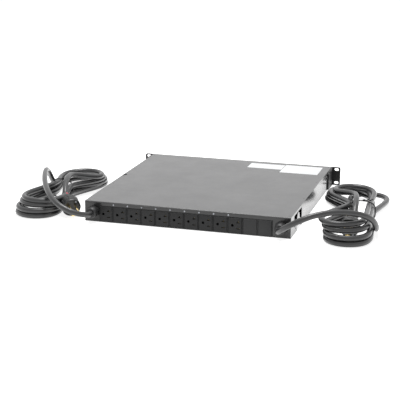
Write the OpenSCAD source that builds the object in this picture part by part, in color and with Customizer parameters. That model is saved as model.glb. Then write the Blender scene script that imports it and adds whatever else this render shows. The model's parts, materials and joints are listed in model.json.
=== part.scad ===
// Rack static transfer switch: a one-unit steel case with ten outlets in its
// rear wall, two mains cords with locking plugs, and the transfer electronics.
// X runs across the rack, Y from the rack rail to the rear, Z up.
// The origin is the middle of the four rack slots, on the plane that seats
// against the rack rail.

/* [Case] */
// Width of the case
body_w = 441; // [436:1:444]
// Depth of the case behind the rack rail
body_d = 453; // [420:1:500]
// Height of the case, one rack unit less its play
body_h = 43.7; // [43.2:0.1:44]
// Thickness of the folded steel of the tray
tray_t = 1.2; // [1:0.1:1.5]
// Thickness of the cover's steel
cover_t = 1.2; // [1:0.1:1.5]
// Width of the inward flanges that carry the cover
flange_w = 12; // [10:0.5:15]
// Height of the lip folded down at the cover's rear edge
lip_h = 2.6; // [2.4:0.1:3]
// Outer radius of the cover's folds
fold_r = 1.8; // [1.6:0.1:2.5]
// Gap at the seams between folded parts
seam_gap = 0.3; // [0.2:0.1:0.5]
// Thickness of the front panel
panel_t = 2; // [1.5:0.5:3]

/* [Rack ears] */
// Width over both ears
rack_w = 482.6; // [480:0.2:484]
// Distance across between the slot columns
slot_span_x = 465.1; // [464:0.1:466]
// Distance between the upper and lower slots
slot_span_z = 31.75; // [31:0.05:32]
// Width of a rack slot
slot_w = 6.8; // [6.5:0.1:7.2]
// Length of a rack slot
slot_len = 10.5; // [9:0.5:12]
// Thickness of the ears
ear_t = 3; // [2.5:0.5:4]
// Height of the ears
ear_h = 43; // [42:0.5:43.5]
// Length of the leg along the case side
ear_leg = 50; // [45:1:60]
// Corner radius of the ears
ear_r = 4; // [3:0.5:5]
// Chamfer at the upper front corner of the leg
ear_chamfer = 6; // [4:1:8]

/* [Side vents] */
// Distance from the rear wall to the side opening
vent_setback = 32; // [28:1:36]
// Length of the side opening
vent_len = 75; // [70:1:80]
// Height of the side opening
vent_h = 24.5; // [22:0.5:26]
// Height of the opening's lower edge above the floor of the case
vent_sill = 14; // [13:0.5:15]
// Width of the tongue that stands in the side opening
tongue_w = 24; // [20:1:26]
// Length of the foot notch under the side opening
notch_len = 45; // [40:1:50]
// Height of the foot notch
notch_h = 8.5; // [7:0.5:9.5]
// How far the foot notch runs in under the case
notch_in = 7; // [5:0.5:8]

/* [Outlets] */
// Distance from one outlet to the next
outlet_pitch = 31; // [30.5:0.1:31.3]
// Outlets in the row
outlet_n = 10; // [10:1:10]
// Blank plates in the row after the outlets
blank_n = 2; // [2:1:2]
// Sideways shift of the row from the middle of the case
row_shift = 2.3; // [0:0.1:3]
// Width of a module's flange
flange_mod_w = 30.5; // [30:0.1:30.6]
// Height of a module's flange
flange_mod_h = 33.2; // [32.6:0.1:33.6]
// Width of a module's raised face
face_w = 26.6; // [25.5:0.1:27.5]
// Height of a module's raised face
face_h = 31.2; // [30:0.1:31.8]
// How far the raised face stands off the flange
face_rise = 1.6; // [1:0.1:2.5]
// Thickness of a module's flange
flange_mod_t = 1.4; // [1:0.1:2]
// Width of a module's body behind the wall
mod_body_w = 28; // [27:0.1:28.4]
// Height of a module's body behind the wall
mod_body_h = 30; // [29:0.1:30.4]
// Depth of an outlet's body behind the wall
outlet_depth = 25; // [22:1:30]
// Depth of a blank plate's body behind the wall
blank_depth = 8; // [6:1:12]
// Height of the row's middle below the middle of the case
row_drop = 3.6; // [3.2:0.1:3.8]
// Clearance round a module's body in its cut-out
mod_fit = 0.2; // [0.1:0.05:0.3]
// Distance between the two blade slots
blade_span = 12.7; // [12.5:0.1:13]
// Distance from the blade slots to the ground hole
ground_span = 11.9; // [11.5:0.1:12.3]
// Width of a blade slot
blade_t = 1.8; // [1.6:0.1:2.2]
// Length of a blade slot
blade_l = 7; // [6.6:0.1:8]
// Length of the cross slot on the upper blade slot
cross_l = 3.4; // [3:0.1:4]
// Diameter of the ground hole
ground_d = 5.2; // [4.9:0.1:5.4]
// Depth of the slots and the ground hole
slot_depth = 16; // [12:1:18]
// Height of the rivets above the modules
rivet_rise = 3.1; // [2.4:0.1:3.2]
// Diameter of a rivet's head
rivet_head_d = 4; // [3.5:0.1:4.5]
// Diameter of a rivet's shank
rivet_d = 2.4; // [2:0.1:3]

/* [Glands] */
// Distance between the two cord glands
gland_span = 402; // [400:0.5:404]
// Width across the flats of the gland's hexagon
gland_af = 24; // [22:0.5:25]
// Diameter of the gland's thread
gland_thread_d = 20; // [19:0.5:20.5]
// How far the gland stands out of the rear wall
gland_out = 18; // [16:0.5:20]
// Thickness of the gland's hexagon
gland_hex_t = 5; // [4:0.5:6]
// Diameter of the gland's mouth
gland_mouth_d = 16; // [15:0.5:18]
// Width across the flats of the locknut
nut_af = 26; // [25:0.5:27]
// Thickness of the locknut
nut_t = 5; // [4:0.5:6]

/* [Cords] */
// Diameter of the mains cords
cord_d = 12; // [11.5:0.1:12]
// Height of a hank over the floor
hank_h = 44; // [43.5:0.1:44]
// Height of a hank's underside over the floor
hank_lift = 1.5; // [1.3:0.1:2]
// Thickness of the ties
tie_t = 1.2; // [1:0.1:1.3]
// Width of the ties
tie_w = 8; // [6:0.5:9]
// Diameter of a plug's body
plug_d = 40; // [38:0.5:41]
// Length of a plug's body
plug_len = 46; // [44:0.5:48]
// Diameter of the ring of blades
blade_ring_d = 21; // [19:0.5:22]
// Length of the plug blades
blade_len = 17; // [15:0.5:18]

/* [Inside] */
// Thickness of the circuit boards
board_t = 1.6; // [1.2:0.2:2]
// Width of the main board
board_w = 330; // [300:5:350]
// Depth of the main board
board_d = 250; // [220:5:255]
// Height of the standoffs
standoff_h = 6; // [5:0.5:7]
// Length of the heat sink, across the case
sink_w = 150; // [130:5:160]
// Depth of the heat sink
sink_d = 84; // [76:2:90]
// Height of the heat sink's fins
fin_h = 8; // [7:0.5:9]
// Thickness of the heat sink's base
sink_base = 5; // [4:0.5:6]

/* [Hidden] */
$fn = 48;
eps = 0.01;

floor_z = -body_h / 2;
roof_z = body_h / 2;
side_x = body_w / 2;
deck_z = floor_z + tray_t;
shelf_z = roof_z - cover_t;
wall_y = body_d - tray_t;
row_left = row_shift + outlet_pitch * (outlet_n + blank_n) / 2;
row_z = -row_drop;
face_out = flange_mod_t + face_rise;
rivet_z = row_z + flange_mod_h / 2 + rivet_rise;
wall_top_z = roof_z - lip_h - seam_gap;
board_top_z = deck_z + standoff_h + board_t;
sink_top_z = deck_z + fin_h + sink_base;
module_n = outlet_n + blank_n;
function module_x(i) = row_left - outlet_pitch * (i + 0.5);

// Screws: shank, head and the clearance round a shank
screw_d = 3;
screw_head_d = 5.6;
ear_screw_d = 4;
ear_head_d = 7.6;
hole_fit = 0.1;
cover_screw_ys = [for (k = [0:3]) 12 + k * (body_d - 24) / 3];
ear_screw_ys = [for (k = [0.25, 0.55, 0.85]) k * ear_leg];
panel_screws_x = body_w - 22;
front_flange_h = 9;
front_tab_w = 18;

// The key tab that the left wall raises through a notch in the cover
key_y = 219;
key_len = 10;
key_notch_in = 8;
key_play = 2;

// Boards and what stands on them
board_y = 30;
board_x = 0;
control_y = 14;
control_w = 210;
control_h = 30;
window_x = 120;
window_w = 66;
window_h = 20;
rim_t = 1;
pipe_d = 3;
pipe_n = 5;
pipe_xs = [for (k = [0:pipe_n - 1]) 66 - 12 * k];
post_xs = [-0.46, 0, 0.46] * board_w;
post_ys = [board_y + 8, board_y + board_d - 8];
sink_y = board_y + board_d + 12;

// Points of the cord routes, in millimetres: across, back, height over the floor
cord_r = cord_d / 2;
gland_y = body_d + gland_out;
left_lead = [[201, gland_y, 22], [201, 483, 22], [208, 499, 25], [222, 509, 31],
    [244, 508, 39], [266, 499, 48], [286, 481, 56], [304, 457, 62], [324, 423, 67],
    [343, 380, 71], [360, 335, 72], [370, 304, 66], [376, 281, 53], [380, 262, 37],
    [383, 246, 22], [385, 232, 11], [386, 220, 8], [386, 212, 8]];
right_lead = [[-201, gland_y, 22], [-201, 483, 22], [-208, 498, 30], [-220, 508, 39],
    [-236, 511, 49], [-252, 507, 58], [-270, 500, 65], [-288, 490, 69], [-307, 478, 70],
    [-325, 467, 69], [-342, 457, 66], [-357, 448, 62], [-370, 437, 57], [-380, 422, 47],
    [-384, 404, 31], [-383, 388, 16], [-381, 374, 9], [-379, 362, 8], [-377, 350, 8]];
left_tail = [[322, 258, 50.5], [320, 274, 52], [316, 298, 57], [311, 322, 60],
    [305, 345, 60], [300, 366, 57], [295, 381, 49.5], [290, 396, 38], [281, 408, 33.8]];
right_tail = [[-320, 246, 50.5], [-321, 262, 51], [-324, 284, 53], [-327, 304, 53],
    [-329, 319, 50], [-330, 332, 41], [-331, 344, 32], [-331, 356, 26.7], [-331, 368, 25.5]];

// Hanks: the waist in the tie and the middles of the loops' ends, with radii
waist_r = 27;
left_waist = [334, 305];
left_near = [339, 433];
left_near_r = 47;
left_far = [329, 180];
left_far_r = 57;
right_waist = [-338, 285];
right_near = [-327, 436];
right_near_r = 47;
right_far = [-286, 160];
right_far_r = 57;
right_side = [-316, 118];
right_side_r = 43;
well_r = 33;
well_neck = [-333, 316];
well_neck_r = 8;
tie_play = 0.8;
rim_bite = 0.05;

function unit(v) = v / norm(v);
function lift(p) = [p[0], p[1], floor_z + p[2]];
function end_of(p) = p[len(p) - 1];
function end_way(p) = unit(p[len(p) - 1] - p[len(p) - 2]);
// Direction of a route at point i
function heading(p, i) = unit(p[min(i + 1, len(p) - 1)] - p[max(i - 1, 0)]);
// Rings of n points round a route, each square to it
function ring(p, i, r, n) = let (t = heading(p, i), u = unit(cross(t, [0, 0, 1])), v = cross(u, t))
    [for (k = [0:n - 1]) lift(p[i]) + r * (cos(360 * k / n) * u + sin(360 * k / n) * v)];

// A tube swept along a route
module swept_tube(p, r, n = 10) {
    last = len(p) - 1;
    points = [for (i = [0:last]) each ring(p, i, r, n)];
    sides = [for (i = [0:last - 1], k = [0:n - 1])
        [i * n + k, i * n + (k + 1) % n, (i + 1) * n + (k + 1) % n, (i + 1) * n + k]];
    near_end = [for (k = [n - 1:-1:0]) k];
    far_end = [for (k = [0:n - 1]) last * n + k];
    polyhedron(points = points, faces = concat(sides, [near_end, far_end]));
}

// Stands its children on point p with their own Z along direction d
module along(p, d) {
    translate(p) rotate([0, acos(d[2] / norm(d)), atan2(d[1], d[0])]) children();
}

// Outline round two circles and their outer tangents
module teardrop(a, ra, b, rb) {
    gap = norm(b - a);
    turn = atan2(b[1] - a[1], b[0] - a[0]);
    lean = acos((ra - rb) / gap);
    function rim(c, r, s) = c + (r - rim_bite) * [cos(turn + s * lean), sin(turn + s * lean)];
    translate(a) circle(r = ra, $fn = 64);
    translate(b) circle(r = rb, $fn = 64);
    polygon([rim(a, ra, 1), rim(b, rb, 1), rim(b, rb, -1), rim(a, ra, -1)]);
}

module rounded_square(w, h, r) {
    square([w - 2 * r, h], center = true);
    square([w, h - 2 * r], center = true);
    for (i = [-1, 1], j = [-1, 1]) translate([i * (w / 2 - r), j * (h / 2 - r)]) circle(r = r);
}

// A round slot through Y, its length along X
module slot_y(len, w, depth) {
    rotate([90, 0, 0]) linear_extrude(height = depth, center = true) {
        square([len - w, w], center = true);
        for (i = [-1, 1]) translate([i * (len - w) / 2, 0]) circle(d = w);
    }
}

// A rod along Y from y0 to y1
module rod_y(y0, y1, d) {
    translate([0, y0, 0]) rotate([-90, 0, 0]) cylinder(d = d, h = y1 - y0);
}

// A countersunk screw whose flat head lies in z = 0 and whose shank points down
module flat_screw(d, head_d, head_t, len) {
    translate([0, 0, -head_t]) cylinder(d1 = d, d2 = head_d, h = head_t);
    translate([0, 0, -len]) cylinder(d = d, h = len - head_t + eps);
}

// The space that a countersunk screw needs
module flat_screw_hole(d, head_d, head_t, len) {
    slope = (head_d - d) / head_t;
    translate([0, 0, -head_t]) cylinder(d1 = d, d2 = head_d + slope * eps, h = head_t + eps);
    translate([0, 0, -len]) cylinder(d = d + 2 * hole_fit, h = len);
}

// ---- case ----

// Outline of a side opening, drawn in depth (x) and height (y)
module vent_outline() {
    y1 = body_d - vent_setback;
    y0 = y1 - vent_len;
    z0 = floor_z + vent_sill;
    z1 = z0 + vent_h;
    tongue_y = y1 - 29 - tongue_w / 2;
    tongue_r = tongue_w / 2;
    tongue_top = z1 - 2.2;
    difference() {
        translate([(y0 + y1) / 2, (z0 + z1) / 2]) rounded_square(vent_len, vent_h, 2);
        translate([tongue_y, tongue_top - tongue_r]) circle(r = tongue_r);
        polygon([[tongue_y + tongue_r, z0 - 1], [tongue_y + tongue_r, tongue_top - tongue_r],
            [tongue_y - tongue_r, tongue_top - tongue_r], [y0 + 6, z0 - 1]]);
    }
}

// What is cut from one side wall: the opening, the foot notch and a fixing hole
module side_cuts(side) {
    y1 = body_d - vent_setback - 30;
    translate([side * side_x - 2, 0, 0]) rotate([90, 0, 90])
        linear_extrude(height = 4) vent_outline();
    translate([side > 0 ? side_x - notch_in : -side_x - eps, y1 - notch_len, floor_z - eps])
        cube([notch_in + eps, notch_len, notch_h]);
    translate([side * side_x - 2, y1 + 14, floor_z + 9]) rotate([0, 90, 0]) cylinder(d = 4.5, h = 4);
    for (y = ear_screw_ys) translate([side * side_x, y, 0]) rotate([0, side * 90, 0])
        translate([0, 0, ear_t]) flat_screw_hole(ear_screw_d, ear_head_d, 2.2, ear_t + 3);
}

module base_tray() {
    color("dimgray") difference() {
        union() {
            translate([-side_x, 0, floor_z]) cube([body_w, body_d, tray_t]);
            translate([-side_x, wall_y, floor_z]) cube([body_w, tray_t, wall_top_z - floor_z]);
            translate([-side_x, 0, floor_z]) cube([body_w, tray_t, front_flange_h]);
            for (side = [-1, 1]) {
                translate([side > 0 ? side_x - tray_t : -side_x, 0, floor_z])
                    cube([tray_t, body_d, shelf_z - floor_z]);
                translate([side > 0 ? side_x - flange_w : -side_x, 0, shelf_z - tray_t])
                    cube([flange_w, wall_y - seam_gap, tray_t]);
                translate([side > 0 ? side_x - front_tab_w : -side_x, 0, floor_z])
                    cube([front_tab_w, tray_t, shelf_z - floor_z]);
            }
            translate([side_x - tray_t, key_y - key_len / 2, shelf_z - 1])
                cube([tray_t, key_len, cover_t + 1]);
        }
        for (side = [-1, 1]) {
            side_cuts(side);
            for (y = cover_screw_ys) translate([side * (side_x - flange_w / 2), y, roof_z])
                flat_screw_hole(screw_d, screw_head_d, cover_t, 6);
            translate([side * gland_span / 2, 0, 0])
                rod_y(wall_y - 1, body_d + 1, gland_thread_d + 2 * hole_fit);
            for (z = [-1, 1]) translate([side * panel_screws_x / 2, 0, z * panel_screw_z()])
                rod_y(-1, tray_t + 1, screw_d + 2 * hole_fit);
        }
        for (i = [0:module_n - 1]) translate([module_x(i), body_d - tray_t / 2, row_z])
            cube([mod_body_w + 2 * mod_fit, 3 * tray_t, mod_body_h + 2 * mod_fit], center = true);
        for (i = [1:rivet_n()]) translate([row_left - i * outlet_pitch, 0, rivet_z])
            rod_y(wall_y - 1, body_d + 1, rivet_d + 2 * hole_fit);
    }
}
function panel_screw_z() = body_h / 2 - 5.5;
function rivet_n() = outlet_n - 1;

module top_cover() {
    lip_in = tray_t + seam_gap;
    color("gray") difference() {
        union() {
            translate([-side_x, 0, shelf_z]) cube([body_w, body_d, cover_t]);
            translate([-side_x + lip_in, body_d - cover_t, roof_z - lip_h])
                cube([body_w - 2 * lip_in, cover_t, lip_h - cover_t + eps]);
        }
        // The rounded fold along the rear edge
        difference() {
            translate([-side_x - 1, body_d - fold_r, roof_z - fold_r])
                cube([body_w + 2, fold_r + 1, fold_r + 1]);
            translate([-side_x - 2, body_d - fold_r, roof_z - fold_r]) rotate([0, 90, 0])
                cylinder(r = fold_r, h = body_w + 4);
        }
        translate([side_x - key_notch_in, key_y - key_len / 2 - key_play, shelf_z - 1])
            cube([key_notch_in + 1, key_len + 2 * key_play, cover_t + 2]);
        for (side = [-1, 1], y = cover_screw_ys)
            translate([side * (side_x - flange_w / 2), y, roof_z])
                flat_screw_hole(screw_d, screw_head_d, cover_t, 6);
    }
}

module front_panel() {
    color("dimgray") difference() {
        translate([-side_x, -panel_t, -ear_h / 2]) cube([body_w, panel_t, ear_h]);
        translate([window_x, -panel_t / 2, 0])
            cube([window_w, panel_t + 1, window_h], center = true);
        for (x = pipe_xs) translate([x, 0, 0]) rod_y(-panel_t - 1, 1, pipe_d + 2 * hole_fit);
        for (i = [-1, 1], j = [-1, 1])
            translate([i * panel_screws_x / 2, -panel_t, j * panel_screw_z()])
                rotate([90, 0, 0]) flat_screw_hole(screw_d, screw_head_d, 1.6, panel_t + 1);
    }
}

// The window: a pane that fills the cut-out, with a rim behind the panel
module display_window() {
    rim = 1.5;
    color([0.1, 0.12, 0.16]) {
        translate([window_x, (eps - panel_t) / 2, 0])
            cube([window_w - 0.2, panel_t + eps, window_h - 0.2], center = true);
        translate([window_x, rim_t / 2, 0])
            cube([window_w + 2 * rim, rim_t, window_h + 2 * rim], center = true);
    }
}

module display_module() {
    color("darkgreen") translate([window_x - window_w / 2, rim_t, -window_h / 2])
        cube([window_w, control_y - rim_t, window_h]);
}

module status_light_pipes() {
    color("white") for (x = pipe_xs) translate([x, 0, 0]) {
        rod_y(-panel_t - 0.4, control_y, pipe_d);
    }
}

// An ear: the flange with its two slots, and the leg along the case side
module rack_ear(side) {
    flange = rack_w / 2 - side_x;
    color([0.16, 0.16, 0.17]) difference() {
        union() {
            translate([side * (side_x + flange / 2), 0, 0]) rotate([90, 0, 0])
                linear_extrude(height = ear_t) {
                    rounded_square(flange, ear_h, ear_r);
                    translate([-side * flange / 4, 0]) square([flange / 2, ear_h], center = true);
                }
            translate([side > 0 ? side_x : -side_x - ear_t, -ear_t, -ear_h / 2])
                cube([ear_t, ear_leg + ear_t, ear_h]);
        }
        for (z = [-1, 1]) translate([side * slot_span_x / 2, -ear_t / 2, z * slot_span_z / 2])
            slot_y(slot_len, slot_w, ear_t + 2);
        for (y = ear_screw_ys) translate([side * (side_x + ear_t), y, 0])
            rotate([0, side * 90, 0]) flat_screw_hole(ear_screw_d, ear_head_d, 2.2, ear_t + 3);
        translate([side * (side_x + ear_t / 2), ear_leg, ear_h / 2]) rotate([45, 0, 0])
            cube([ear_t + 2, ear_chamfer * sqrt(2), ear_chamfer * sqrt(2)], center = true);
    }
}
module rack_ear_left() { rack_ear(1); }
module rack_ear_right() { rack_ear(-1); }

module ear_screws() {
    color("silver") for (side = [-1, 1], y = ear_screw_ys)
        translate([side * (side_x + ear_t), y, 0]) rotate([0, side * 90, 0])
            flat_screw(ear_screw_d, ear_head_d, 2.2, ear_t + tray_t + 1.5);
}

module cover_screws() {
    color("black") for (side = [-1, 1], y = cover_screw_ys)
        translate([side * (side_x - flange_w / 2), y, roof_z])
            flat_screw(screw_d, screw_head_d, cover_t, 5);
}

module panel_screws() {
    color("black") for (i = [-1, 1], j = [-1, 1])
        translate([i * panel_screws_x / 2, -panel_t, j * panel_screw_z()])
            rotate([90, 0, 0]) flat_screw(screw_d, screw_head_d, 1.6, panel_t + tray_t + 1.5);
}

// ---- rear wall ----

// Flange, raised face and body that an outlet and a blank plate share
module module_shell(depth) {
    translate([0, body_d + flange_mod_t / 2, 0])
        cube([flange_mod_w, flange_mod_t, flange_mod_h], center = true);
    translate([0, body_d + flange_mod_t - eps, 0]) rotate([-90, 0, 0])
        linear_extrude(height = face_rise + eps) rounded_square(face_w, face_h, 1);
    translate([0, body_d - depth / 2 + eps / 2, 0]) cube([mod_body_w, depth + eps, mod_body_h], center = true);
}

// One outlet: ground hole to the left and two level blade slots to the right
module outlet(i) {
    back = body_d + face_out - slot_depth;
    color([0.2, 0.22, 0.22]) translate([module_x(i), 0, row_z]) difference() {
        module_shell(outlet_depth);
        translate([ground_span / 2, 0, 0]) rod_y(back, body_d + face_out + 1, ground_d);
        for (z = [-1, 1]) translate([-ground_span / 2, back + slot_depth / 2 + 0.5, z * blade_span / 2])
            cube([blade_l, slot_depth + 1, blade_t], center = true);
        translate([-ground_span / 2, back + slot_depth / 2 + 0.5, blade_span / 2 + cross_l / 2])
            cube([blade_t, slot_depth + 1, cross_l], center = true);
    }
}
module outlet_01() { outlet(0); }
module outlet_02() { outlet(1); }
module outlet_03() { outlet(2); }
module outlet_04() { outlet(3); }
module outlet_05() { outlet(4); }
module outlet_06() { outlet(5); }
module outlet_07() { outlet(6); }
module outlet_08() { outlet(7); }
module outlet_09() { outlet(8); }
module outlet_10() { outlet(9); }

module blank_plate(i) {
    color([0.14, 0.14, 0.15]) translate([module_x(outlet_n + i), 0, row_z])
        module_shell(blank_depth);
}
module blank_plate_01() { blank_plate(0); }
module blank_plate_02() { blank_plate(1); }

module wall_rivets() {
    color("silver") for (i = [1:rivet_n()]) translate([row_left - i * outlet_pitch, 0, rivet_z]) {
        rod_y(wall_y - 0.8, body_d + 0.2, rivet_d);
        rod_y(wall_y - 1.2, wall_y, rivet_d + 1);
        intersection() {
            translate([0, body_d - 1.2, 0]) sphere(r = rivet_head_d / 2 + 0.3);
            rod_y(body_d, body_d + 3, rivet_head_d);
        }
    }
}

// Three bars that join the outlets' contacts, pressed against their backs
module outlet_bus_bars() {
    bar_t = 1.5;
    bar_h = 5;
    x0 = module_x(outlet_n - 1) - 8;
    len = outlet_pitch * (outlet_n - 1) + 16;
    color([0.85, 0.65, 0.3]) for (z = [-1, 0, 1])
        translate([x0, body_d - outlet_depth - bar_t, row_z + z * 9 - bar_h / 2])
            cube([len, bar_t, bar_h]);
}

module gland(side) {
    reach = 9;
    hex_d = gland_af / cos(30);
    dome = gland_out - gland_hex_t;
    color([0.1, 0.1, 0.11]) translate([side * gland_span / 2, 0, 0]) {
        rod_y(wall_y - reach, body_d + eps, gland_thread_d);
        translate([0, body_d, 0]) rotate([-90, 30, 0]) {
            cylinder(d = hex_d, h = gland_hex_t, $fn = 6);
            rotate_extrude() polygon([[0, 0], [gland_af / 2, 0], [gland_af / 2, gland_hex_t + 1.5],
                for (a = [0:15:75]) [gland_mouth_d / 2 + (gland_af - gland_mouth_d) / 2 * cos(a),
                    gland_hex_t + 1.5 + (dome - 1.5) * sin(a)],
                [gland_mouth_d / 2, gland_out], [0, gland_out]]);
        }
    }
}
module gland_left() { gland(1); }
module gland_right() { gland(-1); }

module gland_nut(side) {
    color("silver") translate([side * gland_span / 2, wall_y - nut_t, 0]) difference() {
        rotate([-90, 30, 0]) cylinder(d = nut_af / cos(30), h = nut_t, $fn = 6);
        rod_y(-1, nut_t + 1, gland_thread_d + 2 * hole_fit);
    }
}
module gland_nut_left() { gland_nut(1); }
module gland_nut_right() { gland_nut(-1); }

// ---- inside ----

module at_posts(z) {
    for (x = post_xs, y = post_ys) translate([board_x + x, y, z]) children();
}

module main_board() {
    color("darkgreen") difference() {
        translate([board_x - board_w / 2, board_y, board_top_z - board_t]) cube([board_w, board_d, board_t]);
        at_posts(board_top_z - board_t - 1) cylinder(d = screw_d + 2 * hole_fit, h = board_t + 2);
    }
}

module board_standoffs() {
    color("silver") at_posts(deck_z) difference() {
        cylinder(d = 6, h = standoff_h, $fn = 6);
        translate([0, 0, 1]) cylinder(d = screw_d + 2 * hole_fit, h = standoff_h);
    }
}

module board_screws() {
    color("silver") at_posts(board_top_z) {
        cylinder(d = screw_head_d - 0.4, h = 1.8);
        translate([0, 0, 1.5 - board_t - standoff_h]) cylinder(d = screw_d, h = board_t + standoff_h - 1.5 + eps);
    }
}

// Finned aluminium block that lies on the case floor and carries the switches
module heat_sink() {
    fin_t = 1.6;
    fin_n = 16;
    color("silver") translate([-sink_w / 2, sink_y, 0]) {
        translate([0, 0, deck_z + fin_h - eps]) cube([sink_w, sink_d, sink_base + eps]);
        for (k = [0:fin_n - 1]) translate([k * (sink_w - fin_t) / (fin_n - 1), 0, deck_z])
            cube([fin_t, sink_d, fin_h]);
    }
}

module static_switch(x) {
    w = 34;
    h = 18;
    color([0.15, 0.15, 0.16]) translate([x, sink_y + sink_d / 2, sink_top_z]) {
        translate([-w / 2, -0.48 * sink_d, 0]) cube([w, 0.96 * sink_d, h - 5]);
        translate([-w / 2 + 5, -0.4 * sink_d, 0]) cube([w - 10, 0.8 * sink_d, h]);
        for (k = [-1, 0, 1]) translate([0, k * 0.27 * sink_d, h - eps]) cylinder(d = 9, h = 2.5);
    }
}
module static_switch_a() { static_switch(-sink_w / 4); }
module static_switch_b() { static_switch(sink_w / 4); }

// Four bypass relays in a row on the main board
module relay_bank() {
    color("royalblue") for (k = [0:3]) translate([board_x - 150 + k * 33, board_y + board_d - 60, board_top_z])
        difference() {
            cube([29, 25, 22]);
            translate([-1, -1, 20]) cube([31, 2, 3]);
        }
}

// A small mains transformer: the core with its coil through it
module transformer(x) {
    color([0.5, 0.35, 0.2]) translate([x, board_y + 70, board_top_z]) {
        translate([-21, -7, 0]) cube([42, 14, 28]);
        translate([0, 0, 4]) linear_extrude(height = 20) rounded_square(28, 34, 4);
    }
}
module transformer_a() { transformer(board_x + 100); }
module transformer_b() { transformer(board_x + 45); }

module current_sensor(x) {
    color([0.2, 0.3, 0.25]) translate([x, board_y + board_d - 55, board_top_z])
        rotate_extrude() translate([9.5, 6]) rounded_square(8, 12, 2);
}
module current_sensor_a() { current_sensor(board_x + 60); }
module current_sensor_b() { current_sensor(board_x + 100); }

module bulk_capacitors() {
    color("navy") for (k = [0:5]) translate([board_x - 60 - 18 * (k % 3), board_y + 60 + 18 * floor(k / 3), board_top_z])
        difference() {
            cylinder(d = 16, h = 28);
            translate([0, 0, 27]) cylinder(d = 13, h = 2);
        }
}

module fuse_holders() {
    color("tan") for (k = [0, 1]) translate([board_x - 10, board_y + 60 + 24 * k, board_top_z]) {
        translate([-22, -7, 0]) cube([44, 14, 5]);
        for (i = [-1, 1]) translate([i * 16 - 2, -6, 5 - eps]) cube([4, 12, 9]);
        translate([-20, 0, 10]) rotate([0, 90, 0]) cylinder(d = 9, h = 40);
    }
}

// The board behind the front panel that holds the display and the indicators
module control_board() {
    color("darkgreen") translate([window_x + window_w / 2 + 4 - control_w, control_y, deck_z])
        cube([control_w, board_t, control_h]);
}

module ground_stud() {
    color("silver") translate([-side_x + 30, wall_y - 60, deck_z]) {
        cylinder(d = 10, h = 1.5);
        cylinder(d = 5, h = 14);
    }
}

module ground_nut() {
    color("silver") translate([-side_x + 30, wall_y - 60, deck_z + 1.5]) difference() {
        cylinder(d = 8 / cos(30), h = 4, $fn = 6);
        translate([0, 0, -1]) cylinder(d = 5 + 2 * hole_fit, h = 6);
    }
}

// ---- cords ----

module cord_black() { color([0.13, 0.13, 0.14]) children(); }
module cord_left_lead() { cord_black() swept_tube(left_lead, cord_r); }
module cord_right_lead() { cord_black() swept_tube(right_lead, cord_r); }
module cord_left_tail() { cord_black() swept_tube(left_tail, cord_r); }
module cord_right_tail() { cord_black() swept_tube(right_tail, cord_r); }

// A short straight length of cord that ends flush with a route's end and runs
// into the hank
module stub(p, d, len) {
    along(lift(p), d) cylinder(d = cord_d, h = len);
}

// Turns its children to lie across the way from one point to another
module across(at, toward) {
    translate(at) rotate(atan2(toward[1] - at[1], toward[0] - at[0]) - 90) children();
}

// Cuts that keep a hank's waist straight under its tie
module waist_cuts(at, toward) {
    reach = 2 * waist_r;
    across(at, toward) for (i = [-1, 1]) translate([i * (waist_r + reach / 2), 0])
        square([reach, tie_w + 2 * tie_play], center = true);
}

module cord_left_hank() {
    cord_black() {
        translate([0, 0, floor_z + hank_lift]) linear_extrude(height = hank_h - hank_lift) difference() {
            union() {
                teardrop(left_waist, waist_r, left_near, left_near_r);
                teardrop(left_waist, waist_r, left_far, left_far_r);
            }
            waist_cuts(left_waist, left_near);
        }
        stub(end_of(left_lead), end_way(left_lead), 40);
        stub(left_tail[0], left_tail[0] - left_tail[1], 34);
    }
}

module cord_right_hank() {
    cord_black() {
        translate([0, 0, floor_z + hank_lift]) linear_extrude(height = hank_h - hank_lift) difference() {
            union() {
                teardrop(right_waist, waist_r, right_near, right_near_r);
                teardrop(right_waist, waist_r, right_far, right_far_r);
                teardrop(right_waist, waist_r, right_side, right_side_r);
            }
            teardrop(well_neck, well_neck_r, right_near, well_r);
            waist_cuts(right_waist, right_near);
        }
        stub(end_of(right_lead), end_way(right_lead), 40);
        stub(right_tail[0], right_tail[0] - right_tail[1], 34);
    }
}

// A flat tie round the waist of a hank
module cord_tie(at, toward) {
    inner_w = 2 * waist_r;
    inner_h = hank_h - hank_lift;
    color("black") translate([0, 0, floor_z + (hank_h + hank_lift) / 2]) across(at, toward)
        rotate([90, 0, 0]) linear_extrude(height = tie_w, center = true)
            difference() {
                rounded_square(inner_w + 2 * tie_t, inner_h + 2 * tie_t, 3);
                square([inner_w, inner_h], center = true);
            }
}
module cord_left_tie() { cord_tie(left_waist, left_near); }
module cord_right_tie() { cord_tie(right_waist, right_near); }

// A coloured band round the left tail, just above the plug
module cord_left_band() {
    d = end_way(left_tail);
    color("crimson") along(lift(end_of(left_tail)) - 9 * d, d) difference() {
        cylinder(d = cord_d + 2, h = 7);
        translate([0, 0, -1]) cylinder(d = cord_d, h = 9);
    }
}

// A round locking plug: cord grip, shoulder and barrel, its face at plug_len
module plug_body(p, d) {
    r = plug_d / 2;
    grip_r = cord_r + 3;
    color([0.12, 0.12, 0.13]) along(lift(p), d) rotate_extrude()
        polygon([[0, 0], [grip_r, 0], [grip_r + 1, 2], [grip_r + 1.5, 12], [grip_r + 4, 15],
            [r - 2, 22], [r, 25], [r, plug_len - 1.5], [r - 1.5, plug_len], [0, plug_len]]);
}

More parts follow.
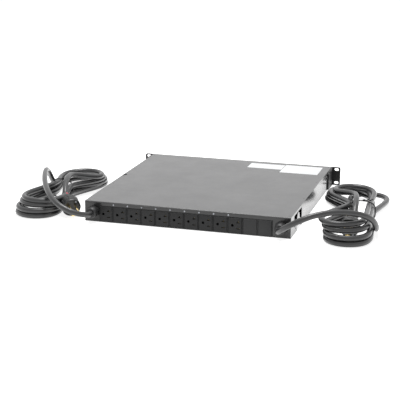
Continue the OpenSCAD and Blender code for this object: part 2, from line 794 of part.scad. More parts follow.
// Three curved blades on a circle, one with a hook at its tip
module plug_blades(p, d) {
    blade = 1.8;
    ring_r = blade_ring_d / 2;
    color([0.85, 0.7, 0.35]) along(lift(p), d) translate([0, 0, plug_len])
        for (a = [0, 120, 240]) rotate([0, 0, a]) {
            linear_extrude(height = blade_len) intersection() {
                difference() {
                    circle(r = ring_r);
                    circle(r = ring_r - blade);
                }
                polygon([[0, 0], [2 * ring_r, -ring_r], [2 * ring_r, ring_r]]);
            }
            if (a == 0) translate([ring_r - blade - 1.4, -2, blade_len - 4]) cube([2, 4, 4]);
        }
}
module plug_left_body() { plug_body(end_of(left_tail), end_way(left_tail)); }
module plug_left_blades() { plug_blades(end_of(left_tail), end_way(left_tail)); }
module plug_right_body() { plug_body(end_of(right_tail), end_way(right_tail)); }
module plug_right_blades() { plug_blades(end_of(right_tail), end_way(right_tail)); }

base_tray();
top_cover();
front_panel();
display_window();
display_module();
status_light_pipes();
rack_ear_left();
rack_ear_right();
ear_screws();
cover_screws();
panel_screws();
outlet_01();
outlet_02();
outlet_03();
outlet_04();
outlet_05();
outlet_06();
outlet_07();
outlet_08();
outlet_09();
outlet_10();
blank_plate_01();
blank_plate_02();
wall_rivets();
outlet_bus_bars();
gland_left();
gland_right();
gland_nut_left();
gland_nut_right();
main_board();
board_standoffs();
board_screws();
heat_sink();
static_switch_a();
static_switch_b();
relay_bank();
transformer_a();
transformer_b();
current_sensor_a();
current_sensor_b();
bulk_capacitors();
fuse_holders();
control_board();
ground_stud();
ground_nut();
cord_left_lead();
cord_left_hank();
cord_left_tail();
cord_left_tie();
cord_left_band();
plug_left_body();
plug_left_blades();
cord_right_lead();
cord_right_hank();
cord_right_tail();
cord_right_tie();
plug_right_body();
plug_right_blades();
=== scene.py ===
import json
import math
import bpy
from mathutils import Matrix, Vector


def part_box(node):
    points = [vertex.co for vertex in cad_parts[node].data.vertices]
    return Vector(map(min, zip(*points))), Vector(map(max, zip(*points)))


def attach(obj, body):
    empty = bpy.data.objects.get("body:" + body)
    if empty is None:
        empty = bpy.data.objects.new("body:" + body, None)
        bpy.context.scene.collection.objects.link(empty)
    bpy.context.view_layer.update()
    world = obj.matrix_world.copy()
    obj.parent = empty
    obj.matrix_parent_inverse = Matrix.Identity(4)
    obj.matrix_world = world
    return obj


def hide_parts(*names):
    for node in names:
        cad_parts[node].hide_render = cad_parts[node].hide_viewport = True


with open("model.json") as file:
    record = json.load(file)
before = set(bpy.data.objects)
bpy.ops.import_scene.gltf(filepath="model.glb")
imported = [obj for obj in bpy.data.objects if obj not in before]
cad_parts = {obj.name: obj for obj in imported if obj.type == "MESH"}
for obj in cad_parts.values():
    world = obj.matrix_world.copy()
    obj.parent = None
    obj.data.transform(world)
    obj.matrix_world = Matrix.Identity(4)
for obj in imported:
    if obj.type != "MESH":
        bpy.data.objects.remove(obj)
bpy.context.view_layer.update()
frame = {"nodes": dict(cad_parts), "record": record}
nodes = frame["nodes"]
bpy.ops.object.select_all(action="DESELECT")
mm = 0.001

caseLow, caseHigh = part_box("base_tray")
groundZ = caseLow.z  # the case stands on its own floor
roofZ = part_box("top_cover")[1].z
rearY = caseHigh.y

# ---- camera ----
camera = {
    "place": (-0.67559, 2.6558, 0.67117),
    "target": (0.07241, 0.1, -0.05733),
    "roll": 0.35,
    "lens": 105.36,
    "sensor": 36.0,
    "clip": (0.05, 50),
}


def makeCamera():
    data = bpy.data.cameras.new("camera")
    data.lens = camera["lens"]
    data.sensor_width = camera["sensor"]
    data.clip_start, data.clip_end = camera["clip"]
    eye = bpy.data.objects.new("camera", data)
    bpy.context.scene.collection.objects.link(eye)
    place = Vector(camera["place"])
    ahead = (Vector(camera["target"]) - place).normalized()
    right = ahead.cross(Vector((0, 0, 1))).normalized()
    up = right.cross(ahead)
    turn = math.radians(camera["roll"])
    across = right * math.cos(turn) + up * math.sin(turn)
    upright = up * math.cos(turn) - right * math.sin(turn)
    basis = Matrix((across, upright, -ahead)).transposed().to_4x4()
    eye.matrix_world = Matrix.Translation(place) @ basis
    bpy.context.scene.camera = eye


makeCamera()
print("camera set")

# ---- cords ----
# Points are (across, back, height over the ground) in millimetres. A loop of a
# hank is (middle, radius, height where it starts, height where it ends).
leftCord = {
    "name": "input_cord_left",
    "lead": [(201, 471, 22), (201, 487, 22), (205, 503, 25), (217, 515, 31),
             (239, 518, 39), (264, 507, 48), (286, 485, 56), (304, 458, 62), (324, 423, 67),
             (343, 380, 71), (360, 335, 72), (370, 304, 66), (376, 281, 53), (380, 262, 37),
             (383, 246, 22), (385, 232, 11), (386, 220, 8), (386, 212, 8)],
    "waist": (334, 305),
    "along": (30, 230),
    "side": -1,
    "farLoops": [((330, 178), 52, 7, 7), ((330, 190), 49, 8, 12), ((324, 196), 52, 19, 19),
                 ((320, 208), 49, 26, 28), ((318, 226), 50, 34, 38)],
    "nearLoops": [((336, 434), 48, 7, 7), ((334, 434), 48, 18, 18), ((330, 428), 46, 29, 29),
                  ((326, 426), 46, 38, 38)],
    "spread": (9, 9, 20, 20, 9, 9, 20, 20, 14),
    "startsInLoop": True,
    "tail": [(316, 298, 57), (311, 322, 60), (305, 345, 60), (300, 366, 57), (295, 381, 49.5), (290,
             396, 38), (281, 408, 33.8)],
}
rightCord = {
    "name": "input_cord_right",
    "lead": [(-201, 471, 22), (-201, 483, 22), (-208, 498, 30), (-220, 508, 39),
             (-236, 511, 49), (-252, 507, 58), (-270, 500, 65), (-288, 490, 69), (-307, 478, 70),
             (-325, 467, 69), (-342, 457, 66), (-357, 448, 62), (-370, 437, 57), (-380, 422, 47),
             (-384, 404, 31), (-383, 388, 16), (-381, 374, 9), (-379, 362, 8), (-377, 350, 8)],
    "waist": (-338, 285),
    "along": (5, 145),
    "side": 1,
    "farLoops": [((-330, 134), 44, 10, 10), ((-286, 140), 52, 9, 9), ((-290, 152), 51, 21, 21),
                 ((-292, 172), 46, 30, 31), ((-304, 186), 46, 37, 40)],
    "nearLoops": [((-331, 436), 47, 7, 7), ((-330, 436), 47, 19, 19), ((-324, 428), 45, 31, 31),
                  ((-317, 422), 46, 42, 42)],
    "spread": (9, 9, 20, 20, 9, 9, 20, 20, 14),
    "startsInLoop": False,
    "tail": [(-320, 246, 50.5), (-321, 262, 51), (-324, 284, 53), (-327, 304, 53),
             (-329, 319, 50), (-330, 332, 41), (-331, 344, 32), (-331, 356, 26.7), (-331, 368, 25.5)],
}
jacket = {"diameter": 12 * mm, "step": 6.0, "sides": 3}


def flat(point):
    return Vector((point[0], point[1]))


def loopPoints(waist, loop, side, count=8, reach=98):
    middle, radius, low, high = loop
    outward = (flat(middle) - flat(waist)).normalized()
    sideways = Vector((-outward.y, outward.x)) * side
    points = []
    for i in range(count + 1):
        angle = math.radians(reach - 2 * reach * i / count)
        spot = flat(middle) + radius * (math.cos(angle) * outward + math.sin(angle) * sideways)
        points.append((spot.x, spot.y, low + (high - low) * i / count))
    return points


def tiePoint(waist, along, offset, height):
    lane = flat(along).normalized()
    spot = flat(waist) + Vector((-lane.y, lane.x)) * offset
    return (spot.x, spot.y, height)


def hankPoints(cord):
    points = []
    passes = iter(cord["spread"])
    side = cord["side"]
    for i, far in enumerate(cord["farLoops"]):
        offset = next(passes)
        if i > 0 or not cord["startsInLoop"]:
            points.append(tiePoint(cord["waist"], cord["along"], side * offset, far[2]))
        points += loopPoints(cord["waist"], far, -side)
        if i < len(cord["nearLoops"]):
            near = cord["nearLoops"][i]
            height = (far[3] + near[2]) / 2
            points.append(tiePoint(cord["waist"], cord["along"], -side * next(passes), height))
            points += loopPoints(cord["waist"], near, -side)
    return points


def evenSpaced(points, step):
    distance = [0.0]
    for a, b in zip(points, points[1:]):
        distance.append(distance[-1] + (b - a).length)
    count = int(distance[-1] / step)
    result = []
    k = 0
    for i in range(count + 1):
        want = distance[-1] * i / count
        while k < len(points) - 2 and distance[k + 1] < want:
            k += 1
        share = (want - distance[k]) / max(1e-9, distance[k + 1] - distance[k])
        result.append(points[k].lerp(points[k + 1], share))
    return result


def relaxed(points, step, rounds=11, fixed=3):
    for turn in range(2):
        points = evenSpaced(points, step)
        for i in range(rounds):
            middle = [a * 0.25 + b * 0.5 + c * 0.25 for a, b, c in zip(points, points[1:], points[2:])]
            inner = middle[fixed - 1:len(middle) - fixed + 1]
            points = points[:fixed] + inner + points[-fixed:]
    return points


def cordRoute(cord):
    rough = cord["lead"] + hankPoints(cord) + cord["tail"]
    smooth = relaxed([Vector(p) for p in rough], jacket["step"])
    return [Vector((p.x * mm, p.y * mm, groundZ + p.z * mm)) for p in smooth]


def makeCord(cord):
    route = cordRoute(cord)
    data = bpy.data.curves.new(cord["name"], "CURVE")
    data.dimensions = "3D"
    data.bevel_depth = 1.0  # each point's radius is the cord's
    data.bevel_resolution = jacket["sides"]
    data.use_fill_caps = True
    line = data.splines.new("POLY")
    line.points.add(len(route) - 1)
    for point, spot in zip(line.points, route):
        point.co = (*spot, 1)
        point.radius = jacket["diameter"] / 2
    line.use_smooth = True
    piece = bpy.data.objects.new(cord["name"], data)
    bpy.context.scene.collection.objects.link(piece)
    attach(piece, "root")
    length = sum((b - a).length for a, b in zip(route, route[1:]))
    print(cord["name"], "length", round(length, 3))
    return piece, route, length


leftPiece, leftRoute, leftLength = makeCord(leftCord)
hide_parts("cord_left_lead", "cord_left_hank", "cord_left_tail")
rightPiece, rightRoute, rightLength = makeCord(rightCord)
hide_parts("cord_right_lead", "cord_right_hank", "cord_right_tail")
print("cords laid")

# ---- finishes ----


def newMaterial(name):
    material = bpy.data.materials.new(name)
    material.use_nodes = True
    tree = material.node_tree
    tree.nodes.clear()
    shader = tree.nodes.new("ShaderNodeBsdfPrincipled")
    out = tree.nodes.new("ShaderNodeOutputMaterial")
    tree.links.new(shader.outputs[0], out.inputs[0])
    coord = tree.nodes.new("ShaderNodeTexCoord")
    return material, tree, shader, coord


def noiseNode(tree, coord, scale, detail=3.0, roughness=0.55):
    node = tree.nodes.new("ShaderNodeTexNoise")
    node.inputs["Scale"].default_value = scale
    node.inputs["Detail"].default_value = detail
    node.inputs["Roughness"].default_value = roughness
    tree.links.new(coord.outputs["Object"], node.inputs["Vector"])
    return node


def rampNode(tree, source, stops):
    node = tree.nodes.new("ShaderNodeValToRGB")
    ramp = node.color_ramp
    ramp.elements[0].position, ramp.elements[0].color = stops[0][0], (*stops[0][1], 1)
    ramp.elements[1].position, ramp.elements[1].color = stops[-1][0], (*stops[-1][1], 1)
    for place, color in stops[1:-1]:
        ramp.elements.new(place).color = (*color, 1)
    tree.links.new(source, node.inputs["Fac"])
    return node


def rangeNode(tree, source, low, high, fromLow=0.3, fromHigh=0.7):
    node = tree.nodes.new("ShaderNodeMapRange")
    node.inputs["From Min"].default_value = fromLow
    node.inputs["From Max"].default_value = fromHigh
    node.inputs["To Min"].default_value = low
    node.inputs["To Max"].default_value = high
    tree.links.new(source, node.inputs["Value"])
    return node


def addBump(tree, shader, heights, distance, strength):
    bump = tree.nodes.new("ShaderNodeBump")
    bump.inputs["Distance"].default_value = distance
    bump.inputs["Strength"].default_value = strength
    tree.links.new(heights, bump.inputs["Height"])
    tree.links.new(bump.outputs[0], shader.inputs["Normal"])
    return bump


def grainedFinish(name, dark, light, rough, grain, bumpDepth, bumpStrength=0.3, metallic=0.0,
                  patch=14.0, spread=0.06, specular=0.5, coat=0.0):
    material, tree, shader, coord = newMaterial(name)
    cloud = noiseNode(tree, coord, patch)
    fine = noiseNode(tree, coord, grain, 2.0)
    color = rampNode(tree, cloud.outputs["Fac"], [(0.3, dark), (0.7, light)])
    tree.links.new(color.outputs[0], shader.inputs["Base Color"])
    gloss = rangeNode(tree, cloud.outputs["Fac"], rough - spread, rough + spread)
    tree.links.new(gloss.outputs[0], shader.inputs["Roughness"])
    addBump(tree, shader, fine.outputs["Fac"], bumpDepth, bumpStrength)
    shader.inputs["Metallic"].default_value = metallic
    shader.inputs["Specular IOR Level"].default_value = specular
    shader.inputs["Coat Weight"].default_value = coat
    shader.inputs["Coat Roughness"].default_value = 0.15
    return material


def gray(value):
    return (value, value * 1.01, value * 1.05)


finishes = {
    "case_paint": grainedFinish("powderCoat", gray(0.022), gray(0.028), 0.4, 1500, 0.00012, 0.25,
                                coat=0.72),
    "ear_paint": grainedFinish("earPaint", gray(0.01), gray(0.013), 0.42, 1400, 0.0001, 0.25,
                               specular=0.3),
    "panel_paint": grainedFinish("panelPaint", gray(0.03), gray(0.036), 0.45, 1400, 0.0001, 0.2),
    "window": grainedFinish("smokedWindow", gray(0.008), gray(0.01), 0.12, 300, 0.00002, 0.05),
    "light_pipe": grainedFinish("milkyPipe", (0.6, 0.62, 0.58), (0.7, 0.72, 0.68), 0.3, 600, 0.00003),
    "outlet_plastic": grainedFinish("outletNylon", gray(0.012), gray(0.016), 0.5, 1800, 0.00008, 0.2,
                                    specular=0.35),
    "blank_plastic": grainedFinish("blankNylon", gray(0.013), gray(0.017), 0.55, 1800, 0.0001, 0.3),
    "gland_plastic": grainedFinish("glandNylon", gray(0.014), gray(0.018), 0.42, 1200, 0.00006, 0.2),
    "cord_jacket": grainedFinish("cordJacket", gray(0.026), gray(0.034), 0.4, 900, 0.00015, 0.2, coat=0.4),
    "tie_black": grainedFinish("tiePlastic", gray(0.02), gray(0.03), 0.4, 900, 0.00008, 0.2),
    "band_red": grainedFinish("redSleeve", (0.6, 0.03, 0.06), (0.7, 0.05, 0.09), 0.4, 700, 0.00008, 0.2),
    "plug_plastic": grainedFinish("plugShell", gray(0.016), gray(0.022), 0.36, 1100, 0.00008, 0.2),
    "blade_brass": grainedFinish("bladeBrass", (0.72, 0.56, 0.26), (0.86, 0.7, 0.36), 0.24, 700,
                                 0.00004, 0.1, 1.0),
    "zinc": grainedFinish("zincPlate", (0.26, 0.27, 0.29), (0.34, 0.35, 0.37), 0.3, 900, 0.00003, 0.1, 1.0),
    "screw_black": grainedFinish("blackOxide", gray(0.02), gray(0.03), 0.35, 900, 0.00003, 0.1),
    "board_green": grainedFinish("solderMask", (0.01, 0.1, 0.04), (0.015, 0.14, 0.06), 0.35, 500, 0.00004),
    "sink_aluminium": grainedFinish("extrudedAluminium", (0.7, 0.71, 0.73), (0.78, 0.79, 0.81), 0.35,
                                    900, 0.00004, 0.1, 1.0),
    "bus_copper": grainedFinish("tinnedCopper", (0.75, 0.5, 0.35), (0.85, 0.6, 0.42), 0.3, 800, 0.00003,
                                0.1, 1.0),
    "relay_blue": grainedFinish("relayCase", (0.02, 0.07, 0.3), (0.03, 0.09, 0.36), 0.4, 800, 0.00004),
    "core_brown": grainedFinish("varnishedCore", (0.2, 0.1, 0.04), (0.28, 0.15, 0.07), 0.5, 500, 0.0001),
    "sensor_green": grainedFinish("coatedRing", (0.04, 0.1, 0.06), (0.06, 0.13, 0.08), 0.5, 700, 0.0001),
    "can_blue": grainedFinish("canSleeve", (0.02, 0.03, 0.12), (0.03, 0.04, 0.16), 0.3, 700, 0.00003),
    "fuse_tan": grainedFinish("fuseBody", (0.5, 0.4, 0.26), (0.6, 0.5, 0.34), 0.5, 600, 0.00006),
    "switch_black": grainedFinish("moduleCase", gray(0.02), gray(0.026), 0.5, 900, 0.00006),
}


def dressNodes():
    slots = {part["node"]: part["material_slot"] for part in frame["record"]["subparts"]}
    for name, piece in nodes.items():
        piece.data.materials.clear()
        piece.data.materials.append(finishes[slots[name]])


dressNodes()
# The tray's rear and side walls wear the same powder coat as the cover; this darker, duller copy is painted
# shade on them
shadedTrayPaint = grainedFinish("trayPaintedShade", gray(0.01), gray(0.013), 0.4, 1500, 0.00012, 0.25, specular=0.15,
                           coat=1.0)
nodes["base_tray"].data.materials[0] = shadedTrayPaint
for piece in (leftPiece, rightPiece):
    piece.data.materials.append(finishes["cord_jacket"])
print("finishes set")

# ---- modelling helpers ----


def settle(piece):
    bpy.ops.object.select_all(action="DESELECT")
    piece.select_set(True)
    bpy.context.view_layer.objects.active = piece
    bpy.ops.object.transform_apply(location=True, rotation=True, scale=True)
    return piece


def addBlock(low, high):
    low, high = Vector(low), Vector(high)
    bpy.ops.mesh.primitive_cube_add(size=1, location=(low + high) / 2)
    block = bpy.context.object
    block.scale = high - low
    return settle(block)


def addRod(start, end, radius, sides=32, radiusEnd=None):
    start, end = Vector(start), Vector(end)
    bpy.ops.mesh.primitive_cone_add(vertices=sides, radius1=radius, radius2=radius if radiusEnd is None
                                    else radiusEnd, depth=(end - start).length, location=(start + end) / 2,
                                    rotation=(end - start).to_track_quat("Z", "Y").to_euler())
    return settle(bpy.context.object)


def roundEdges(piece, width, segments=2, angle=40):
    bevel = piece.modifiers.new("edges", "BEVEL")
    bevel.width = width
    bevel.segments = segments
    bevel.limit_method = "ANGLE"
    bevel.angle_limit = math.radians(angle)
    bpy.context.view_layer.objects.active = piece
    bpy.ops.object.modifier_apply(modifier="edges")
    return piece


def combine(piece, tool, operation):
    cut = piece.modifiers.new("cut", "BOOLEAN")
    cut.operation = operation
    cut.solver = "EXACT"
    cut.object = tool
    bpy.context.view_layer.objects.active = piece
    bpy.ops.object.modifier_apply(modifier="cut")
    bpy.data.objects.remove(tool)
    return piece


def joinPieces(pieces, name):
    bpy.ops.object.select_all(action="DESELECT")
    for piece in pieces:
        piece.select_set(True)
    bpy.context.view_layer.objects.active = pieces[0]
    if len(pieces) > 1:
        bpy.ops.object.join()
    pieces[0].name = name
    return pieces[0]


def copyMoved(piece, shift, name):
    twin = piece.copy()
    twin.data = piece.data.copy()
    twin.name = name
    bpy.context.scene.collection.objects.link(twin)
    twin.data.transform(Matrix.Translation(shift))
    return twin


def finishPiece(piece, slotName, *standsFor, angle=35):
    piece.data.materials.clear()
    piece.data.materials.append(finishes[slotName])
    bpy.ops.object.select_all(action="DESELECT")
    piece.select_set(True)
    bpy.context.view_layer.objects.active = piece
    bpy.ops.object.shade_smooth_by_angle(angle=math.radians(angle))
    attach(piece, "root")
    if standsFor:
        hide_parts(*standsFor)
    return piece


def turnedShape(rings, sides=48):
    height, radius = rings[0]
    bpy.ops.mesh.primitive_circle_add(vertices=sides, radius=radius, fill_type="NGON", location=(0, 0, 0))
    piece = bpy.context.object
    bpy.ops.object.mode_set(mode="EDIT")
    bpy.ops.mesh.select_all(action="SELECT")
    bpy.ops.transform.translate(value=(0, 0, height))
    for nextHeight, nextRadius in rings[1:]:
        bpy.ops.mesh.extrude_region_move(TRANSFORM_OT_translate={"value": (0, 0, nextHeight - height)})
        grow = nextRadius / radius
        bpy.ops.transform.resize(value=(grow, grow, 1), center_override=(0, 0, nextHeight))
        height, radius = nextHeight, nextRadius
    bpy.ops.mesh.select_all(action="SELECT")
    bpy.ops.mesh.normals_make_consistent(inside=False)
    bpy.ops.object.mode_set(mode="OBJECT")
    return piece


def stand(piece, foot, direction):
    turn = Vector(direction).to_track_quat("Z", "Y").to_matrix().to_4x4()
    piece.data.transform(Matrix.Translation(foot) @ turn)
    return piece


# ---- outlets ----
outletForm = {
    "flange": (30.5 * mm, 1.4 * mm, 33.2 * mm), "face": (26.6 * mm, 31.2 * mm), "faceRise": 1.6 * mm,
    "body": (28 * mm, 25 * mm, 30 * mm), "flangeEdge": 0.3 * mm, "faceEdge": 0.7 * mm,
    "blade": (7 * mm, 1.8 * mm), "stem": (1.8 * mm, 3.4 * mm), "bladeSpan": 12.7 * mm,
    "groundSpan": 11.9 * mm, "groundRadius": 2.6 * mm, "slotDepth": 16 * mm, "mouth": 0.45 * mm,
    "leaf": 0.3 * mm, "leafHalf": 3.15 * mm, "leafBack": 5 * mm,
}


def makeOutletShell():
    form = outletForm
    width, thick, tall = form["flange"]
    shell = roundEdges(addBlock((-width / 2, 0, -tall / 2), (width / 2, thick, tall / 2)),
                       form["flangeEdge"])
    faceWide, faceTall = form["face"]
    front = thick + form["faceRise"]
    face = addBlock((-faceWide / 2, thick / 2, -faceTall / 2), (faceWide / 2, front, faceTall / 2))
    combine(shell, roundEdges(face, form["faceEdge"], 3), "UNION")
    bodyWide, bodyDeep, bodyTall = form["body"]
    body = addBlock((-bodyWide / 2, -bodyDeep, -bodyTall / 2), (bodyWide / 2, thick / 2, bodyTall / 2))
    combine(shell, body, "UNION")
    bottom = front - form["slotDepth"]
    over = 1 * mm
    groundX = form["groundSpan"] / 2
    radius, mouth = form["groundRadius"], form["mouth"]
    combine(shell, addRod((groundX, bottom, 0), (groundX, front + over, 0), radius), "DIFFERENCE")
    combine(shell, addRod((groundX, front - mouth, 0), (groundX, front + mouth, 0), radius, 32,
                          radius + 2 * mouth), "DIFFERENCE")
    bladeWide, bladeTall = form["blade"]
    for side in (-1, 1):
        z = side * form["bladeSpan"] / 2
        combine(shell, addBlock((-groundX - bladeWide / 2, bottom, z - bladeTall / 2),
                                (-groundX + bladeWide / 2, front + over, z + bladeTall / 2)), "DIFFERENCE")
    stemWide, stemTall = form["stem"]
    z = form["bladeSpan"] / 2
    combine(shell, addBlock((-groundX - stemWide / 2, bottom, z),
                            (-groundX + stemWide / 2, front + over, z + stemTall)), "DIFFERENCE")
    return shell


def makeContacts():
    form = outletForm
    bladeTall = form["blade"][1]
    front = form["flange"][1] + form["faceRise"]
    middle = -form["groundSpan"] / 2
    leaf, half = form["leaf"], form["leafHalf"]
    leaves = []
    for side in (-1, 1):
        for edge in (-1, 1):
            z = side * form["bladeSpan"] / 2 + edge * (bladeTall - leaf) / 2
            leaves.append(addBlock((middle - half, front - form["slotDepth"], z - leaf / 2),
                                   (middle + half, front - form["leafBack"], z + leaf / 2)))
    return joinPieces(leaves, "contacts")


def makeOutlets():
    shell = makeOutletShell()
    contacts = makeContacts()
    sets = []
    for name in sorted(n for n in nodes if n.startswith("outlet_") and n[-1].isdigit()):
        low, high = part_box(name)
        spot = Vector(((low.x + high.x) / 2, rearY, (low.z + high.z) / 2))
        finishPiece(copyMoved(shell, spot, "fitted_" + name), "outlet_plastic", name)
        sets.append(copyMoved(contacts, spot, "contacts"))
    finishPiece(joinPieces(sets, "outlet_contacts"), "blade_brass")
    bpy.data.objects.remove(shell)
    bpy.data.objects.remove(contacts)


makeOutlets()
print("outlets fitted")

# ---- blank plates ----
blankForm = {"edge": 0.7 * mm, "flangeEdge": 0.3 * mm}


def makeBlanks():
    for name in ("blank_plate_01", "blank_plate_02"):
        low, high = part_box(name)
        mid = (low + high) / 2
        width, thick, tall = outletForm["flange"]
        faceWide, faceTall = outletForm["face"]
        plate = addBlock((low.x, rearY, low.z), (high.x, rearY + thick, high.z))
        roundEdges(plate, blankForm["flangeEdge"])
        face = addBlock((mid.x - faceWide / 2, rearY + thick / 2, mid.z - faceTall / 2),
                        (mid.x + faceWide / 2, high.y, mid.z + faceTall / 2))
        combine(plate, roundEdges(face, blankForm["edge"], 3), "UNION")
        bodyWide, bodyDeep, bodyTall = outletForm["body"]
        body = addBlock((mid.x - bodyWide / 2, low.y, mid.z - bodyTall / 2),
                        (mid.x + bodyWide / 2, rearY + thick / 2, mid.z + bodyTall / 2))
        combine(plate, body, "UNION")
        plate.name = "fitted_" + name
        finishPiece(plate, "blank_plastic", name)


makeBlanks()
print("blank plates fitted")

# ---- plugs ----
plugForm = {
    "rings": [(0, 8.4), (0.6, 9), (2, 10), (12, 10.5), (15, 13), (20, 17.2), (23, 19), (26, 20), (38, 20),
              (38.4, 19.5), (39.2, 19.5), (39.6, 20), (44.6, 20), (45.6, 19.4), (46, 18.4), (46, 14.2),
              (45.4, 13.8)],
    "grooves": 10, "grooveRadius": 2.2, "grooveFrom": 26, "grooveTo": 36, "grooveAt": 21.3,
    "grooveSides": 16, "edge": 0.25, "screws": 3, "screwRadius": 1.9, "screwAt": 16.4,
    "screwFoot": 45.6, "screwTop": 46.5, "slotHalf": (1.4, 0.25), "slotFloor": 46.1, "slotTop": 47,
}


def makePlug(cord, name, *standsFor):
    form = plugForm
    plug = turnedShape([(z * mm, r * mm) for z, r in form["rings"]], 64)
    for k in range(form["grooves"]):
        angle = 2 * math.pi * k / form["grooves"]
        x, y = form["grooveAt"] * math.cos(angle) * mm, form["grooveAt"] * math.sin(angle) * mm
        tool = addRod((x, y, form["grooveFrom"] * mm), (x, y, form["grooveTo"] * mm),
                      form["grooveRadius"] * mm,
                      form["grooveSides"])
        combine(plug, tool, "DIFFERENCE")
    roundEdges(plug, form["edge"] * mm, 2, 50)
    a, b = [Vector(p) for p in cord["tail"][-2:]]
    foot = Vector((b.x * mm, b.y * mm, groundZ + b.z * mm))
    stand(plug, foot, b - a)
    plug.name = name
    finishPiece(plug, "plug_plastic", *standsFor)
    screws = []
    slotLong, slotWide = form["slotHalf"]
    for k in range(form["screws"]):
        angle = 2 * math.pi * (k + 0.5) / form["screws"]
        x, y = form["screwAt"] * math.cos(angle) * mm, form["screwAt"] * math.sin(angle) * mm
        head = addRod((x, y, form["screwFoot"] * mm), (x, y, form["screwTop"] * mm),
                      form["screwRadius"] * mm, 24)
        roundEdges(head, form["edge"] * mm)
        combine(head, addBlock((x - slotLong * mm, y - slotWide * mm, form["slotFloor"] * mm),
                               (x + slotLong * mm, y + slotWide * mm, form["slotTop"] * mm)), "DIFFERENCE")
        screws.append(head)
    heads = joinPieces(screws, name + "_screws")
    stand(heads, foot, b - a)
    finishPiece(heads, "zinc")
    return plug, heads


leftPlug, leftPlugScrews = makePlug(leftCord, "locking_plug_left", "plug_left_body")
rightPlug, rightPlugScrews = makePlug(rightCord, "locking_plug_right", "plug_right_body")
print("plugs turned")

# ---- ties ----
tieForm = {"halfWide": 27.4, "halfTall": 21.8, "middle": 23.2, "power": 2.8, "wire": 1.3, "ends": 22,
           "ringSteps": 48, "twistSteps": 24, "twistTurns": 2.5, "twistRadius": 1.1, "twistRise": 3}


def makeTie(cord, name, *standsFor):
    form = tieForm
    lane = flat(cord["along"]).normalized()
    across = Vector((-lane.y, lane.x, 0))
    middle = Vector((cord["waist"][0], cord["waist"][1], form["middle"]))
    spots = []
    for k in range(form["ringSteps"] + 1):
        angle = math.pi / 2 + 2 * math.pi * k / form["ringSteps"]
        c, n = math.cos(angle), math.sin(angle)
        reach = (abs(c) ** form["power"] + abs(n) ** form["power"]) ** (-1 / form["power"])
        spots.append(middle + across * (form["halfWide"] * reach * c)
                     + Vector((0, 0, form["halfTall"] * reach * n)))
    pieces = []
    twist = []
    coil = form["twistRadius"]
    along = Vector((lane.x, lane.y, 0))
    for k in range(form["twistSteps"] + 1):
        share = k / form["twistSteps"]
        angle = share * form["twistTurns"] * 2 * math.pi
        twist.append(spots[0] + across * (form["ends"] * share) + along * (coil * math.cos(angle))
                     + Vector((0, 0, coil + coil * math.sin(angle) + form["twistRise"] * share)))
    for line in (spots, twist):
        data = bpy.data.curves.new(name, "CURVE")
        data.dimensions = "3D"
        data.bevel_depth = form["wire"] * mm
        data.bevel_resolution = 2
        data.use_fill_caps = True
        spline = data.splines.new("POLY")
        spline.points.add(len(line) - 1)
        for point, spot in zip(spline.points, line):
            point.co = (spot.x * mm, spot.y * mm, groundZ + spot.z * mm, 1)
        piece = bpy.data.objects.new(name, data)
        bpy.context.scene.collection.objects.link(piece)
        bpy.ops.object.select_all(action="DESELECT")
        piece.select_set(True)
        bpy.context.view_layer.objects.active = piece
        bpy.ops.object.convert(target="MESH")
        pieces.append(bpy.context.object)
    return finishPiece(joinPieces(pieces, name), "tie_black", *standsFor, angle=60)


leftTie = makeTie(leftCord, "twist_tie_left", "cord_left_tie")
rightTie = makeTie(rightCord, "twist_tie_right", "cord_right_tie")
print("ties wound")

# ---- labels ----
labels = {
    "thickness": 0.2 * mm, "corner": 2 * mm,
    "small": ((-113.5 * mm, 20 * mm), (-32 * mm, 65 * mm)),
    "large": ((-203 * mm, 16 * mm), (-114.5 * mm, 90 * mm)),
}


def makeLabel(name):
    (x0, y0), (x1, y1) = labels[name]
    plate = addBlock((x0, y0, roofZ), (x1, y1, roofZ + labels["thickness"]))
    bpy.ops.object.mode_set(mode="EDIT")
    bpy.ops.mesh.select_mode(type="EDGE")
    bpy.ops.mesh.select_all(action="DESELECT")
    bpy.ops.object.mode_set(mode="OBJECT")
    for edge in plate.data.edges:
        a, b = [plate.data.vertices[i].co for i in edge.vertices]
        edge.select = abs(a.z - b.z) > labels["thickness"] / 2
    bpy.ops.object.mode_set(mode="EDIT")
    bpy.ops.mesh.bevel(offset=labels["corner"], segments=5)
    bpy.ops.object.mode_set(mode="OBJECT")
    plate.name = "label_" + name
    plate.data.materials.append(labelFinish)
    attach(plate, "root")


labelFinish = grainedFinish("labelVinyl", (0.9, 0.92, 0.93), (0.94, 0.95, 0.96), 0.4, 900, 0.00003, 0.1)
makeLabel("small")
makeLabel("large")
print("labels laid")

# ---- screws ----
screwForm = {"recess": 0.7 * mm, "slot": 0.7 * mm, "reach": 0.36, "depth": 1.2 * mm, "taper": 0.6,
             "smallHead": 2.8 * mm, "earHead": 3.8 * mm}


def makeScrews(name, node, slotName, radius, facing, places):
    recess, slotWide = screwForm["recess"], screwForm["slot"]
    screw = addRod((0, 0, -screwForm["depth"]), (0, 0, 0), radius * screwForm["taper"], 32, radius)
    reach = radius * 2 * screwForm["reach"]
    for size in ((reach, slotWide / 2), (slotWide / 2, reach)):
        combine(screw, addBlock((-size[0], -size[1], -recess), (size[0], size[1], recess)), "DIFFERENCE")
    copies = []
    for place in places:
        twin = copyMoved(screw, Vector((0, 0, 0)), name)
        stand(twin, place, facing(place))
        copies.append(twin)
    bpy.data.objects.remove(screw)
    return finishPiece(joinPieces(copies, name), slotName, node)


def spaced(low, high, count):
    return [low + (high - low) * k / (count - 1) for k in range(count)]


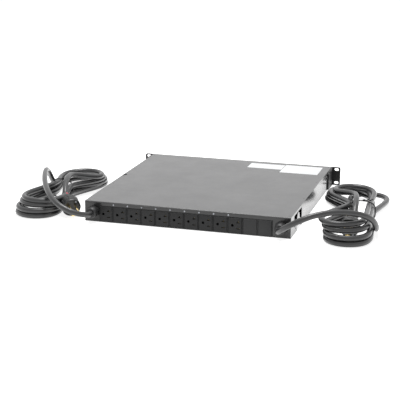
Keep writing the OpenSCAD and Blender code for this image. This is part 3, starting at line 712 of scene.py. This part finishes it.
def makeAllScrews():
    low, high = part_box("cover_screws")
    r = screwForm["smallHead"]
    places = [Vector((x, y, roofZ)) for x in (low.x + r, high.x - r) for y in spaced(low.y + r,
              high.y - r, 4)]
    makeScrews("flush_cover_screws", "cover_screws", "case_paint", r, lambda p: (0, 0, 1), places)
    low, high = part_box("ear_screws")
    r = screwForm["earHead"]
    places = [Vector((x, y, 0)) for x in (low.x, high.x) for y in spaced(low.y + r, high.y - r, 3)]
    makeScrews("flush_ear_screws", "ear_screws", "screw_black", r, lambda p: (1 if p.x > 0 else -1, 0,
               0), places)
    low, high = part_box("panel_screws")
    r = screwForm["smallHead"]
    places = [Vector((x, low.y, z)) for x in (low.x + r, high.x - r) for z in (low.z + r, high.z - r)]
    makeScrews("flush_panel_screws", "panel_screws", "screw_black", r, lambda p: (0, -1, 0), places)


makeAllScrews()
print("screws driven")

# ---- ground and light ----
studio = {"floorSize": 12.0, "floorGap": 0.2 * mm, "floorColor": 0.86, "floorRough": 0.9,
          "floorSpecular": 0.1, "floorGlow": 0.85, "worldFill": 0.2, "keyPower": 48.0, "keySize": 1.2,
          "keyPlace": (0.1, 0.1, 2.2)}


def makeGround():
    bpy.ops.mesh.primitive_plane_add(size=studio["floorSize"], location=(0, 0,
                                     groundZ - studio["floorGap"]))
    floor = bpy.context.object
    floor.name = "studio_floor"
    material, tree, shader, coord = newMaterial("paleFloor")
    shader.inputs["Base Color"].default_value = (*[studio["floorColor"]] * 3, 1)
    shader.inputs["Roughness"].default_value = studio["floorRough"]
    shader.inputs["Specular IOR Level"].default_value = studio["floorSpecular"]
    path = tree.nodes.new("ShaderNodeLightPath")
    glow = tree.nodes.new("ShaderNodeEmission")
    seen = tree.nodes.new("ShaderNodeMath")
    seen.operation = "MAXIMUM"
    tree.links.new(path.outputs["Is Camera Ray"], seen.inputs[0])
    tree.links.new(path.outputs["Is Glossy Ray"], seen.inputs[1])
    lift = tree.nodes.new("ShaderNodeMath")
    lift.operation = "MULTIPLY"
    lift.inputs[1].default_value = studio["floorGlow"]
    tree.links.new(seen.outputs[0], lift.inputs[0])
    tree.links.new(lift.outputs[0], glow.inputs["Strength"])
    both = tree.nodes.new("ShaderNodeAddShader")
    out = next(n for n in tree.nodes if n.type == "OUTPUT_MATERIAL")
    tree.links.new(shader.outputs[0], both.inputs[0])
    tree.links.new(glow.outputs[0], both.inputs[1])
    tree.links.new(both.outputs[0], out.inputs[0])
    floor.data.materials.append(material)


def makeLight():
    scene = bpy.context.scene
    world = bpy.data.worlds.new("studioWorld")
    scene.world = world
    world.use_nodes = True
    tree = world.node_tree
    tree.nodes.clear()
    out = tree.nodes.new("ShaderNodeOutputWorld")
    path = tree.nodes.new("ShaderNodeLightPath")
    fill = tree.nodes.new("ShaderNodeBackground")
    fill.inputs["Strength"].default_value = studio["worldFill"]
    white = tree.nodes.new("ShaderNodeBackground")
    white.inputs["Color"].default_value = (1, 1, 1, 1)
    white.inputs["Strength"].default_value = 1.0
    seen = tree.nodes.new("ShaderNodeMath")
    seen.operation = "MAXIMUM"
    tree.links.new(path.outputs["Is Camera Ray"], seen.inputs[0])
    tree.links.new(path.outputs["Is Glossy Ray"], seen.inputs[1])
    mix = tree.nodes.new("ShaderNodeMixShader")
    tree.links.new(seen.outputs[0], mix.inputs[0])
    tree.links.new(fill.outputs[0], mix.inputs[1])
    tree.links.new(white.outputs[0], mix.inputs[2])
    tree.links.new(mix.outputs[0], out.inputs[0])
    data = bpy.data.lights.new("overhead", "AREA")
    data.size = studio["keySize"]
    data.energy = studio["keyPower"]
    lamp = bpy.data.objects.new("overhead", data)
    scene.collection.objects.link(lamp)
    lamp.location = studio["keyPlace"]
    scene.view_settings.view_transform = "Standard"


makeGround()
makeLight()
print("studio set")

bpy.context.view_layer.update()
